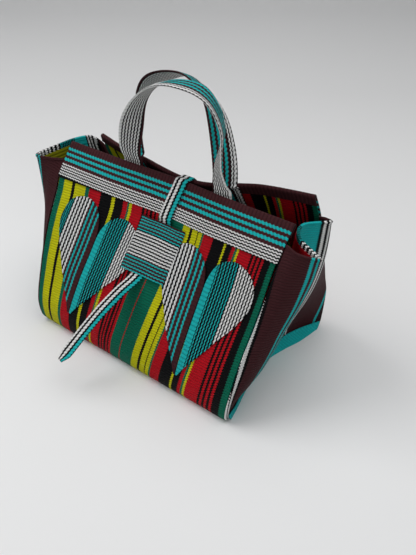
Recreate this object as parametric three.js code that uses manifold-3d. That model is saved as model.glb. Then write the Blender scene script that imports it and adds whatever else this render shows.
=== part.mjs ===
// Handwoven tote bag: four leaning cloth walls on a flat base, with folded wings at both sides,
// striped bands round the mouth, two flat handles, two appliqued hearts and a closing strap
// that runs under a patch. Millimetres, +Z up, standing on the plane z = 0, front towards -Y.

import * as THREE from 'three';
import Module from 'manifold-3d';

const wasm = await Module();
wasm.setup();

// Driving sizes
const baseWidth = 330;
const baseDepth = 234;
const frontHeight = 236;
const backHeight = 243;
const wingHeight = 220;
const cloth = 2;
const bandCloth = 1.6;
const patchCloth = 1.2;
const strapCloth = 1.8;
const handleCloth = 2.6;
const baseCloth = 2.4;
const gap = 0.3;
const innerGap = 0.7;
const slack = 0.5;
const mouthStep = 0.02;
const baseStripHeight = 12;
const mouthDentDepth = 8;
const dentNarrowness = 8;
const leftSwellDepth = 15;
const handleWidth = 30;
const handleSpread = 70;
const handleRise = 128;
const handleReach = 20;
const handleSteps = 32;
const strapWidth = 19;
const strapDrop = 100;
const strapTipLength = 12;
const strapReach = [-0.28, -1.1, -0.72];
const strapEndWide = [-0.985, 0.17, 0];
const keeperWidth = 70;
const keeperHeight = 65;
const keeperMiddle = 157.5;
const keeperRows = 5;
const keeperAside = 3;
const keeperSlant = 10;
const leafLength = 143;
const leafWidth = 64;
const facingMargin = 0.09;

// Sizes that follow from them
const halfWidth = baseWidth / 2;
const halfDepth = baseDepth / 2;
const bandFace = gap + bandCloth;
const patchFace = gap + patchCloth;

// Colours of the woven cloths
const brown = '#3b2325';
const turquoise = '#25b0b0';
const green = '#0a6b52';
const red = '#a8142a';
const olive = '#8a8a10';
const white = '#dedede';

// Front panel by height: lean and width as shares of the base's halves, then how much of the
// mouth's dent and of the left side's swell each height has.
const frontRows = [
  { up: 0.00, lean: 0.955, wide: 0.994, dent: 0.0, swell: 0.00 },
  { up: 0.05, lean: 1.000, wide: 1.000, dent: 0.0, swell: 0.05 },
  { up: 0.17, lean: 0.968, wide: 1.010, dent: 0.0, swell: 0.30 },
  { up: 0.38, lean: 0.778, wide: 1.018, dent: 0.0, swell: 0.70 },
  { up: 0.51, lean: 0.632, wide: 1.028, dent: 0.1, swell: 0.95 },
  { up: 0.65, lean: 0.480, wide: 1.036, dent: 0.4, swell: 1.00 },
  { up: 0.78, lean: 0.368, wide: 1.047, dent: 1.0, swell: 0.55 },
  { up: 0.85, lean: 0.318, wide: 1.060, dent: 0.8, swell: 0.25 },
  { up: 1.00, lean: 0.080, wide: 1.072, dent: 0.4, swell: 0.00 },
];

// Back panel by height: the same shares, and how far it is drawn in towards the front.
const backRows = [
  { up: 0.00, lean: 0.955, wide: 0.994, pinch: 0.00 },
  { up: 0.05, lean: 1.000, wide: 1.000, pinch: 0.00 },
  { up: 0.26, lean: 1.000, wide: 1.012, pinch: 0.00 },
  { up: 0.39, lean: 0.905, wide: 1.018, pinch: 0.04 },
  { up: 0.52, lean: 0.800, wide: 1.030, pinch: 0.12 },
  { up: 0.70, lean: 0.630, wide: 1.042, pinch: 0.34 },
  { up: 0.89, lean: 0.500, wide: 1.050, pinch: 0.74 },
  { up: 1.00, lean: 0.440, wide: 1.020, pinch: 1.00 },
];

// Back panel's mouth from its right end to its left: how far its top is drawn to the front,
// as a share of the base's half depth, and its height as a share of the panel's.
const backMouth = [
  { across: 0.00, drawn: 0.00, high: 1.000 },
  { across: 0.10, drawn: 0.06, high: 0.998 },
  { across: 0.20, drawn: 0.13, high: 0.993 },
  { across: 0.28, drawn: 0.23, high: 0.984 },
  { across: 0.36, drawn: 0.34, high: 0.973 },
  { across: 0.43, drawn: 0.39, high: 0.968 },
  { across: 0.50, drawn: 0.39, high: 0.966 },
  { across: 0.60, drawn: 0.35, high: 0.966 },
  { across: 0.68, drawn: 0.31, high: 0.968 },
  { across: 0.83, drawn: 0.24, high: 0.965 },
  { across: 1.00, drawn: 0.09, high: 0.955 },
];

// Side walls between the front and the back seam, a row for each height. Each pair is a place
// in plan, as shares of the base's half width and half depth: swell beside the front seam,
// front fold, two valley places, back fold and the fall to the back seam.
const rightRows = [
  { up: 0.00, beside: [0.965, -0.77], front: [0.915, -0.50], valley: [0.870, -0.17],
    hollow: [0.862, 0.10], back: [0.905, 0.37], fall: [0.958, 0.62] },
  { up: 0.055, beside: [0.975, -0.79], front: [0.912, -0.50], valley: [0.864, -0.17],
    hollow: [0.842, 0.10], back: [0.852, 0.44], fall: [0.905, 0.71] },
  { up: 0.18, beside: [1.042, -0.82], front: [1.030, -0.48], valley: [0.960, -0.13],
    hollow: [0.912, 0.13], back: [0.903, 0.42], fall: [0.945, 0.72] },
  { up: 0.34, beside: [1.085, -0.66], front: [1.105, -0.39], valley: [1.015, -0.09],
    hollow: [0.962, 0.15], back: [0.985, 0.46], fall: [1.005, 0.76] },
  { up: 0.50, beside: [1.112, -0.54], front: [1.160, -0.29], valley: [1.025, 0.00],
    hollow: [0.965, 0.19], back: [1.058, 0.46], fall: [1.045, 0.71] },
  { up: 0.66, beside: [1.145, -0.42], front: [1.218, -0.17], valley: [1.045, 0.03],
    hollow: [0.980, 0.21], back: [1.103, 0.48], fall: [1.078, 0.63] },
  { up: 0.82, beside: [1.165, -0.34], front: [1.275, -0.13], valley: [1.070, 0.01],
    hollow: [1.004, 0.19], back: [1.135, 0.46], fall: [1.100, 0.56] },
  { up: 1.00, beside: [1.195, -0.29], front: [1.345, -0.24], valley: [1.115, -0.05],
    hollow: [1.042, 0.17], back: [1.170, 0.39], fall: [1.120, 0.45] },
];

const leftRows = [
  { up: 0.00, beside: [0.970, -0.77], front: [0.945, -0.50], valley: [0.925, -0.17],
    hollow: [0.920, 0.10], back: [0.930, 0.42], fall: [0.960, 0.70] },
  { up: 0.055, beside: [0.975, -0.79], front: [0.945, -0.50], valley: [0.920, -0.17],
    hollow: [0.910, 0.10], back: [0.915, 0.43], fall: [0.945, 0.72] },
  { up: 0.18, beside: [1.030, -0.83], front: [1.042, -0.50], valley: [1.006, -0.13],
    hollow: [0.982, 0.13], back: [0.970, 0.45], fall: [0.982, 0.75] },
  { up: 0.34, beside: [1.066, -0.74], front: [1.103, -0.47], valley: [1.079, -0.09],
    hollow: [1.055, 0.15], back: [1.030, 0.48], fall: [1.018, 0.77] },
  { up: 0.50, beside: [1.097, -0.68], front: [1.158, -0.43], valley: [1.152, -0.05],
    hollow: [1.127, 0.17], back: [1.091, 0.48], fall: [1.061, 0.72] },
  { up: 0.66, beside: [1.127, -0.58], front: [1.218, -0.38], valley: [1.206, -0.02],
    hollow: [1.182, 0.19], back: [1.133, 0.46], fall: [1.091, 0.64] },
  { up: 0.82, beside: [1.164, -0.45], front: [1.273, -0.36], valley: [1.260, 0.00],
    hollow: [1.230, 0.20], back: [1.176, 0.43], fall: [1.109, 0.54] },
  { up: 1.00, beside: [1.176, -0.33], front: [1.303, -0.36], valley: [1.285, 0.02],
    hollow: [1.255, 0.21], back: [1.206, 0.38], fall: [1.127, 0.45] },
];

// Height of a side wall's hem at each of its places, as shares of the wing's height.
const rightHem = [
  { at: 0.00, high: 0.990 },
  { at: 0.30, high: 1.000 },
  { at: 0.72, high: 1.000 },
  { at: 0.86, high: 0.990 },
  { at: 1.00, high: 0.968 },
];

const leftHem = [
  { at: 0.00, high: 0.990 },
  { at: 0.30, high: 1.000 },
  { at: 0.72, high: 1.000 },
  { at: 0.86, high: 0.945 },
  { at: 1.00, high: 0.866 },
];

// Half of a heart: distance from its tip as a share of its length, then the near and the far
// side of the cloth as shares of its width, both measured from the heart's straight middle line.
const leafRows = [
  { along: 0.00, near: 0.00, far: 0.03 },
  { along: 0.10, near: 0.00, far: 0.15 },
  { along: 0.25, near: 0.00, far: 0.38 },
  { along: 0.42, near: 0.00, far: 0.62 },
  { along: 0.58, near: 0.00, far: 0.86 },
  { along: 0.70, near: 0.00, far: 0.98 },
  { along: 0.78, near: 0.01, far: 1.00 },
  { along: 0.88, near: 0.08, far: 0.95 },
  { along: 0.95, near: 0.20, far: 0.82 },
  { along: 0.985, near: 0.33, far: 0.67 },
  { along: 1.00, near: 0.45, far: 0.55 },
];

// The four heart halves: tip and notch as shares of the base's half width and of the front
// panel's height, the side that the half lies on, and its own scale.
const leaves = [
  { name: 'left_heart_outer', tip: [-0.640, 0.174], notch: [-0.530, 0.623], side: -1, size: 1.00,
    colour: brown },
  { name: 'left_heart_inner', tip: [-0.632, 0.174], notch: [-0.522, 0.623], side: 1, size: 1.00,
    colour: turquoise },
  { name: 'right_heart_inner', tip: [0.511, 0.153], notch: [0.540, 0.606], side: -1, size: 1.00,
    colour: brown },
  { name: 'right_heart_outer', tip: [0.519, 0.153], notch: [0.548, 0.606], side: 1, size: 1.04,
    colour: turquoise },
];

// A handle from its left foot to its right one: place as shares of the handles' spread, of
// their reach in depth and of their rise above the front panel, then the turn of the webbing
// about the upright and its tilt, in degrees.
const frontHandleRows = [
  { side: -0.99, depth: -0.12, rise: 0.03, turn: 6, tilt: 4 },
  { side: -0.98, depth: -0.4, rise: 0.18, turn: 16, tilt: 9 },
  { side: -0.88, depth: -0.52, rise: 0.41, turn: 42, tilt: 17 },
  { side: -0.79, depth: -0.44, rise: 0.595, turn: 76, tilt: 24 },
  { side: -0.66, depth: -0.27, rise: 0.735, turn: 96, tilt: 21 },
  { side: -0.46, depth: -0.08, rise: 0.842, turn: 107, tilt: 16 },
  { side: -0.16, depth: 0.02, rise: 0.914, turn: 107, tilt: 8 },
  { side: 0.18, depth: 0.03, rise: 0.942, turn: 106, tilt: 1 },
  { side: 0.49, depth: 0.01, rise: 0.933, turn: 107, tilt: -2 },
  { side: 0.75, depth: -0.02, rise: 0.866, turn: 108, tilt: 5 },
  { side: 0.93, depth: -0.05, rise: 0.75, turn: 109, tilt: 14 },
  { side: 1.02, depth: -0.07, rise: 0.6, turn: 117, tilt: 20 },
  { side: 0.99, depth: -0.1, rise: 0.44, turn: 130, tilt: 19 },
  { side: 0.945, depth: -0.12, rise: 0.265, turn: 144, tilt: 14 },
  { side: 0.97, depth: -0.12, rise: 0.12, turn: 160, tilt: 8 },
  { side: 1.02, depth: -0.12, rise: 0.03, turn: 177, tilt: 0 },
];

const backHandleRows = [
  { side: -1.06, depth: 0.3, rise: 0.03, turn: 6, tilt: 3 },
  { side: -1.15, depth: 0.58, rise: 0.18, turn: 3, tilt: 1 },
  { side: -1.19, depth: 0.87, rise: 0.4, turn: -11, tilt: -6 },
  { side: -1.12, depth: 1.12, rise: 0.6, turn: -34, tilt: -24 },
  { side: -0.97, depth: 1.26, rise: 0.73, turn: -56, tilt: -36 },
  { side: -0.78, depth: 1.36, rise: 0.82, turn: -66, tilt: -40 },
  { side: -0.48, depth: 1.43, rise: 0.891, turn: -70, tilt: -38 },
  { side: -0.2, depth: 1.5, rise: 0.93, turn: -68, tilt: -26 },
  { side: 0.03, depth: 1.56, rise: 0.907, turn: -69, tilt: -20 },
  { side: 0.26, depth: 1.6, rise: 0.82, turn: -78, tilt: -19 },
  { side: 0.47, depth: 1.57, rise: 0.69, turn: -98, tilt: -17 },
  { side: 0.63, depth: 1.42, rise: 0.54, turn: -116, tilt: -14 },
  { side: 0.76, depth: 1.19, rise: 0.38, turn: -130, tilt: -11 },
  { side: 0.86, depth: 0.93, rise: 0.235, turn: -143, tilt: -8 },
  { side: 0.93, depth: 0.66, rise: 0.12, turn: -154, tilt: -4 },
  { side: 0.97, depth: 0.46, rise: 0.04, turn: -161, tilt: 0 },
];

// Closing strap: where its middle lies on each cloth that it passes, by the cloth's height
// share; its sideways place is a share of its own width, and its lift runs from 0 on the
// panel itself to 1 on a band.
const strapOnBack = [
  { up: 0.87, aside: 0.80, lift: 1 },
  { up: 0.90, aside: 0.80, lift: 1 },
  { up: 0.95, aside: 0.80, lift: 1 },
  { up: 1.00, aside: 0.80, lift: 1 },
];

const strapOnFront = [
  { up: 1.000, aside: 0.78, lift: 1 },
  { up: 0.950, aside: 0.72, lift: 1 },
  { up: 0.900, aside: 0.65, lift: 1 },
  { up: 0.835, aside: 0.55, lift: 1 },
];

const strapUnderKeeper = { top: 0.48, foot: -0.42 };

// The strap's free end: distance out from the keeper as a share of the drop, how far it hangs
// below or above a straight line, and how far its width has turned.
const strapEndRows = [
  { along: 0.08, droop: 0.00, turned: 0.0 },
  { along: 0.25, droop: 0.04, turned: 0.2 },
  { along: 0.50, droop: 0.06, turned: 0.5 },
  { along: 0.75, droop: 0.04, turned: 0.8 },
  { along: 1.00, droop: 0.00, turned: 1.0 },
];

// Smooth curve through the rows of a table: tangents are the slopes between each row's
// neighbours, and past both ends the curve goes on straight.
function follow(rows, place, column, index) {
  const value = (row) => (index === undefined ? row[column] : row[column][index]);
  const slope = (i) => {
    const before = rows[Math.max(i - 1, 0)];
    const after = rows[Math.min(i + 1, rows.length - 1)];
    return (value(after) - value(before)) / (after[place] - before[place]);
  };
  return (t) => {
    const last = rows.length - 1;
    if (t <= rows[0][place]) {
      return value(rows[0]) + slope(0) * (t - rows[0][place]);
    }
    if (t >= rows[last][place]) {
      return value(rows[last]) + slope(last) * (t - rows[last][place]);
    }
    let i = 0;
    while (rows[i + 1][place] < t) {
      i += 1;
    }
    const span = rows[i + 1][place] - rows[i][place];
    const s = (t - rows[i][place]) / span;
    const rise = value(rows[i + 1]) - value(rows[i]);
    const bend0 = slope(i) * span - rise;
    const bend1 = slope(i + 1) * span - rise;
    return value(rows[i]) + rise * s + s * (1 - s) * (bend0 * (1 - s) - bend1 * s);
  };
}

const frontLean = follow(frontRows, 'up', 'lean');
const frontWide = follow(frontRows, 'up', 'wide');
const frontDent = follow(frontRows, 'up', 'dent');
const frontSwell = follow(frontRows, 'up', 'swell');
const backLean = follow(backRows, 'up', 'lean');
const backWide = follow(backRows, 'up', 'wide');
const backPinch = follow(backRows, 'up', 'pinch');
const mouthDrawn = follow(backMouth, 'across', 'drawn');
const mouthHigh = follow(backMouth, 'across', 'high');

// Outer face of the front panel, from its left side to its right and from foot to mouth.
function frontPoint(across, up) {
  const side = 2 * across - 1;
  const x = side * halfWidth * frontWide(up);
  const dent = mouthDentDepth * frontDent(up) * Math.exp(-dentNarrowness * side * side);
  const swell = leftSwellDepth * frontSwell(up) * ((1 - side) / 2) ** 4;
  return new THREE.Vector3(x, -halfDepth * frontLean(up) + dent - swell, up * frontHeight);
}

// Outer face of the back panel, from its right side to its left and from foot to mouth.
function backPoint(across, up) {
  const side = 1 - 2 * across;
  const x = side * halfWidth * backWide(up);
  const drawn = halfDepth * mouthDrawn(across) * backPinch(up);
  const sag = 1 + (mouthHigh(across) - 1) * up;
  return new THREE.Vector3(x, halfDepth * backLean(up) - drawn, up * backHeight * sag);
}

// Seam of a side wall with the panel at height z: the point of the panel's edge there.
function frontSeam(sign, z) {
  return frontPoint(sign > 0 ? 1 : 0, z / frontHeight);
}

function backSeam(sign, z) {
  const across = sign > 0 ? 0 : 1;
  return backPoint(across, z / (backHeight * mouthHigh(across)));
}

// Outer face of a side wall. At each height its places in plan are joined by a smooth curve,
// which runs from the front seam to the back seam.
const placeNames = ['beside', 'front', 'valley', 'hollow', 'back', 'fall'];

function sideWall(rows, hemRows, sign) {
  const hem = follow(hemRows, 'at', 'high');
  const places = placeNames.map((name) => ({
    x: follow(rows, 'up', name, 0),
    y: follow(rows, 'up', name, 1),
  }));
  return {
    hem: (at) => wingHeight * hem(at),
    point: (at, z) => {
      const up = z / wingHeight;
      const inner = places.map(({ x, y }) => [sign * halfWidth * x(up), halfDepth * y(up)]);
      const front = frontSeam(sign, z);
      const back = backSeam(sign, z);
      const plan = [[front.x, front.y], ...inner, [back.x, back.y]];
      const stops = plan.map((place, i) => ({ at: i / (plan.length - 1), place }));
      const x = follow(stops, 'at', 'place', 0)(at);
      const y = follow(stops, 'at', 'place', 1)(at);
      return new THREE.Vector3(x, y, z);
    },
  };
}

const rightWall = sideWall(rightRows, rightHem, 1);
const leftWall = sideWall(leftRows, leftHem, -1);

// Outward unit normal of a surface: its change along across, crossed with its change along up.
function normalAt(surface, across, up) {
  const step = 1e-3;
  const right = surface(across + step, up).sub(surface(across - step, up));
  const above = surface(across, up + step).sub(surface(across, up - step));
  return right.cross(above).normalize();
}

function offsetPoint(surface, across, up, distance) {
  return surface(across, up).addScaledVector(normalAt(surface, across, up), distance);
}

// Equal steps from 0 to 1, and a list of shares whose ends are pushed outwards.
function evenSteps(count) {
  return Array.from({ length: count + 1 }, (unused, i) => i / count);
}

function pushedOut(shares, past) {
  const inner = shares.slice(1, -1);
  return [shares[0] - past, ...inner, shares[shares.length - 1] + past];
}

// A closed wall between two offsets of a surface, over a grid of listed shares.
function sheet(surface, { across, up, inner, outer }) {
  const positions = [];
  for (const distance of [outer, inner]) {
    for (const b of up) {
      for (const a of across) {
        const reach = typeof distance === 'function' ? distance(a, b) : distance;
        positions.push(...offsetPoint(surface, a, b, reach).toArray());
      }
    }
  }
  return closeGrid(positions, across.length - 1, up.length - 1);
}

// Faces of a wall whose outer grid of points is followed by its inner one.
function closeGrid(positions, columns, rows) {
  const index = [];
  const back = (columns + 1) * (rows + 1);
  const at = (i, j) => j * (columns + 1) + i;
  const quad = (a, b, c, d) => index.push(a, b, c, a, c, d);
  for (let j = 0; j < rows; j += 1) {
    for (let i = 0; i < columns; i += 1) {
      quad(at(i, j), at(i + 1, j), at(i + 1, j + 1), at(i, j + 1));
      quad(back + at(i, j), back + at(i, j + 1), back + at(i + 1, j + 1), back + at(i + 1, j));
    }
  }
  for (let i = 0; i < columns; i += 1) {
    quad(at(i, 0), back + at(i, 0), back + at(i + 1, 0), at(i + 1, 0));
    quad(at(i, rows), at(i + 1, rows), back + at(i + 1, rows), back + at(i, rows));
  }
  for (let j = 0; j < rows; j += 1) {
    quad(at(0, j), at(0, j + 1), back + at(0, j + 1), back + at(0, j));
    quad(at(columns, j), back + at(columns, j), back + at(columns, j + 1), at(columns, j + 1));
  }
  const geometry = new THREE.BufferGeometry();
  geometry.setAttribute('position', new THREE.Float32BufferAttribute(positions, 3));
  geometry.setIndex(index);
  return geometry;
}

// Solid for joining and cutting, and back to a geometry.
function toSolid(geometry) {
  return new wasm.Manifold(new wasm.Mesh({
    numProp: 3,
    vertProperties: new Float32Array(geometry.attributes.position.array),
    triVerts: new Uint32Array(geometry.index.array),
  }));
}

// The largest body of a solid: trimming a cloth at a seam leaves loose shreds beyond the seam.
function mainBody(solid) {
  const bodies = solid.decompose();
  bodies.sort((a, b) => b.volume() - a.volume());
  return bodies[0];
}

function toGeometry(solid) {
  const mesh = solid.getMesh();
  const geometry = new THREE.BufferGeometry();
  geometry.setAttribute('position', new THREE.BufferAttribute(mesh.vertProperties, 3));
  geometry.setIndex(new THREE.BufferAttribute(mesh.triVerts, 1));
  return geometry;
}

// Grid lines of the cloths, closer together where they bend more.
const panelAcross = [
  0, 0.06, 0.12, 0.18, 0.24, 0.3, 0.36, 0.41, 0.455, 0.5,
  0.545, 0.59, 0.64, 0.7, 0.76, 0.82, 0.88, 0.94, 1,
];
const panelLower = [0, 0.025, 0.05, 0.1, 0.17, 0.25, 0.34, 0.43, 0.51, 0.58, 0.65, 0.715, 0.78];
const mouthRows = [0.843, 0.9, 0.95, 1];
const panelUp = [...panelLower, ...mouthRows];
const wallAcross = evenSteps(24);
const wallUp = [0, 0.022, 0.043, 0.14, 0.24, 0.34, 0.45, 0.55, 0.65, 0.75, 0.85, 0.96, 1];
const facingUp = [0.75, 0.85, 0.96];
const stripUp = [0.4, 1];

// A panel, and the same panel grown by the gap, which clears its neighbours.
function panelSolid(surface, grown) {
  const past = grown / baseWidth;
  return toSolid(sheet(surface, {
    across: pushedOut(panelAcross, past),
    up: pushedOut(panelUp, past),
    inner: -cloth - grown,
    outer: grown,
  }));
}

// Point on an arc round the top of a panel: the angle is 0 on the outer side and a half turn
// on the inner side, and the reach is measured from the middle of the cloth.
function roundMouth(surface, across, angle, reach) {
  const normal = normalAt(surface, across, 1);
  const top = surface(across, 1);
  const upward = top.clone().sub(surface(across, 1 - mouthStep)).normalize();
  return top.addScaledVector(normal, reach * Math.cos(angle) - cloth / 2)
    .addScaledVector(upward, reach * Math.sin(angle));
}

// Band folded over the mouth of a panel: up its outer face, round its top and down inside.
// Each of its rows is a point at a given distance from the panel's cloth.
function bandSolid(surface, grown) {
  const foldAngles = [0.25, 0.5, 0.75].map((share) => share * Math.PI);
  const across = pushedOut(panelAcross, grown / baseWidth);
  const outside = (up) => (a, lift) => offsetPoint(surface, a, up, gap + lift);
  const inside = (up) => (a, lift) => offsetPoint(surface, a, up, -cloth - innerGap - lift);
  const folded = (angle) => (a, lift) => roundMouth(surface, a, angle, cloth / 2 + gap + lift);
  const rows = [
    ...mouthRows.map(outside),
    ...foldAngles.map(folded),
    inside(1),
    inside(mouthRows[2]),
  ];
  const positions = [];
  for (const lift of [bandCloth + grown, -grown]) {
    for (const row of rows) {
      for (const a of across) {
        positions.push(...row(a, lift).toArray());
      }
    }
  }
  return toSolid(closeGrid(positions, across.length - 1, rows.length - 1));
}

const frontSolid = panelSolid(frontPoint, 0);
const backSolid = panelSolid(backPoint, 0);
const frontBandSolid = bandSolid(frontPoint, 0);
const backBandSolid = bandSolid(backPoint, 0);

// Everything that a side cloth has to stay clear of.
const seamClearances = [
  panelSolid(frontPoint, gap), panelSolid(backPoint, gap),
  bandSolid(frontPoint, gap), bandSolid(backPoint, gap),
];

function trimAtSeams(solid) {
  const trimmed = seamClearances.reduce((rest, clearance) => rest.subtract(clearance), solid);
  return mainBody(trimmed);
}

// A side wall's surface as across and up shares; up runs from a foot height to the hem. The
// left wall is run through from its back seam, so that its normal also points outwards.
function wallSurface(wall, sign, foot, top) {
  return (across, up) => {
    const at = sign > 0 ? across : 1 - across;
    const high = top === undefined ? wall.hem(at) : top(at);
    const low = typeof foot === 'function' ? foot(at) : foot;
    return wall.point(at, low + (high - low) * up);
  };
}

const wallFoot = baseCloth + gap + cloth;

function gussetSolid(wall, sign) {
  const surface = wallSurface(wall, sign, wallFoot);
  const whole = sheet(surface, { across: wallAcross, up: wallUp, inner: -cloth, outer: 0 });
  return trimAtSeams(toSolid(whole));
}

// Base: one cloth whose flat middle lies under the side walls and whose two sides turn up
// outside them as low strips. Its grid runs from the right strip's top over the floor to the
// left strip's top, once for the outside and once for the inside.
function basePanel() {
  const inside = 2 * gap;
  const outside = inside + patchCloth;
  const strips = [[rightWall, 1], [leftWall, -1]].map(([wall, sign]) => {
    const surface = wallSurface(wall, sign, 0, () => baseStripHeight);
    return (forward, up, distance) => {
      return offsetPoint(surface, sign > 0 ? forward : 1 - forward, up, distance);
    };
  });
  const layer = (distance, floorHeight) => wallAcross.flatMap((forward) => {
    const [right, left] = strips.map((strip) => {
      const rise = stripUp.map((up) => strip(forward, up, distance));
      const corner = strip(forward, 0, distance).setZ(floorHeight);
      return [...rise.reverse(), corner];
    });
    return [...right, ...left.reverse()].flatMap((point) => point.toArray());
  });
  const columns = 2 * (stripUp.length + 1) - 1;
  const positions = [...layer(outside, 0), ...layer(inside, baseCloth)];
  return trimAtSeams(toSolid(closeGrid(positions, columns, wallAcross.length - 1)));
}

// Place on the front panel that lies at x and at a height share.
function onFront(x, up, distance) {
  const across = (x / (halfWidth * frontWide(up)) + 1) / 2;
  return offsetPoint(frontPoint, across, up, distance);
}

// Half of a heart, laid on the front panel beside the heart's middle line.
function leafGeometry({ tip, notch, side, size }) {
  const near = follow(leafRows, 'along', 'near');
  const far = follow(leafRows, 'along', 'far');
  const start = new THREE.Vector2(tip[0] * halfWidth, tip[1] * frontHeight);
  const middle = new THREE.Vector2(notch[0] * halfWidth, notch[1] * frontHeight).sub(start);
  middle.normalize();
  const outward = new THREE.Vector2(middle.y, -middle.x).multiplyScalar(side);
  const columns = 4;
  const positions = [];
  for (const distance of [patchFace, gap]) {
    for (const row of leafRows) {
      for (let i = 0; i <= columns; i += 1) {
        const share = side > 0 ? i / columns : 1 - i / columns;
        const width = near(row.along) + (far(row.along) - near(row.along)) * share;
        const place = start.clone()
          .addScaledVector(middle, row.along * leafLength * size)
          .addScaledVector(outward, width * leafWidth * size);
        positions.push(...onFront(place.x, place.y / frontHeight, distance).toArray());
      }
    }
  }
  return closeGrid(positions, columns, leafRows.length - 1);
}

// Patch over the strap: sewn down along both sides, and raised in the middle where the strap
// runs beneath it.
function keeperSurface(across, up) {
  const x = keeperAside + (across - 0.5) * keeperWidth + (up - 0.5) * keeperSlant;
  const high = (keeperMiddle + (up - 0.5) * keeperHeight) / frontHeight;
  return onFront(x, high, 0);
}

function keeperGeometry(grown) {
  const raised = 2 * gap + strapCloth + slack;
  const lift = (across) => {
    const x = Math.abs(across - 0.5) * keeperWidth;
    const fall = Math.min(Math.max((x - strapWidth) / (keeperWidth / 2 - strapWidth), 0), 1);
    return gap + (raised - gap) * (0.5 + 0.5 * Math.cos(Math.PI * fall));
  };
  return sheet(keeperSurface, {
    across: pushedOut(evenSteps(12), grown / keeperWidth),
    up: pushedOut(evenSteps(keeperRows), grown / keeperHeight),
    inner: (across) => (grown > 0 ? 0 : lift(across)),
    outer: (across) => lift(across) + patchCloth + grown,
  });
}

// A flat ribbon along a path: each station has its middle, the direction of its width and
// the direction of its thickness.
function ribbonGeometry(stations, width, thickness, columns) {
  const positions = [];
  for (const half of [0.5, -0.5]) {
    for (const { middle, wide, thick, narrow = 1 } of stations) {
      for (let i = 0; i <= columns; i += 1) {
        const share = (i / columns - 0.5) * width * narrow;
        const point = middle.clone().addScaledVector(wide, share)
          .addScaledVector(thick, half * thickness);
        positions.push(...point.toArray());
      }
    }
  }
  return closeGrid(positions, columns, stations.length - 1);
}

// Stations of a ribbon from its middles and widths: the thickness is square to both the
// listed width and the path, and the width is then made square to the path.
function withThickness(places) {
  return places.map((place, i) => {
    const before = places[Math.max(i - 1, 0)].middle;
    const after = places[Math.min(i + 1, places.length - 1)].middle;
    const forward = after.clone().sub(before).normalize();
    const thick = place.wide.clone().cross(forward).normalize();
    return { ...place, thick, wide: forward.clone().cross(thick) };
  });
}

// Unit direction along a cloth from its start to its end at one height.
function alongCloth(surface, across, up) {
  const step = 1e-3;
  return surface(across + step, up).sub(surface(across - step, up)).normalize();
}

// A handle: the feet lie against the inside of the panel, and the table's rows carry the
// webbing up and over, turning it from flat against the panel to flat along the top.
function handleGeometry(rows, footPlace) {
  const listed = (column) => rows.map((row, i) => ({ at: i / (rows.length - 1), value: row[column] }));
  const sample = (column) => follow(listed(column), 'at', 'value');
  const side = sample('side');
  const depth = sample('depth');
  const rise = sample('rise');
  const turn = sample('turn');
  const tilt = sample('tilt');
  const arch = evenSteps(handleSteps).map((at) => {
    const turned = THREE.MathUtils.degToRad(turn(at));
    const tilted = THREE.MathUtils.degToRad(tilt(at));
    return {
      middle: new THREE.Vector3(
        side(at) * handleSpread,
        depth(at) * handleReach,
        frontHeight + rise(at) * handleRise,
      ),
      wide: new THREE.Vector3(
        Math.cos(turned) * Math.cos(tilted),
        Math.sin(turned) * Math.cos(tilted),
        -Math.sin(tilted),
      ),
    };
  });
  const foot = (row, sign) => mouthRows.map((up) => footPlace(row.side * handleSpread, up, sign));
  const last = rows[rows.length - 1];
  const places = [...foot(rows[0], 1), ...arch, ...foot(last, -1).reverse()];
  return ribbonGeometry(withThickness(places), handleWidth, handleCloth, 2);
}

// Where a handle's foot lies inside a panel: clear of the band's turned-in edge.
const footDepth = cloth + innerGap + bandCloth + innerGap + handleCloth / 2;

function frontFoot(x, up, sign) {
  const across = (x / (halfWidth * frontWide(1)) + 1) / 2;
  return {
    middle: offsetPoint(frontPoint, across, up, -footDepth),
    wide: alongCloth(frontPoint, across, up).multiplyScalar(sign),
  };
}

function backFoot(x, up, sign) {
  const across = (1 - x / (halfWidth * backWide(1))) / 2;
  return {
    middle: offsetPoint(backPoint, across, up, -footDepth - innerGap),
    wide: alongCloth(backPoint, across, up).multiplyScalar(-sign),
  };
}

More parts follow.
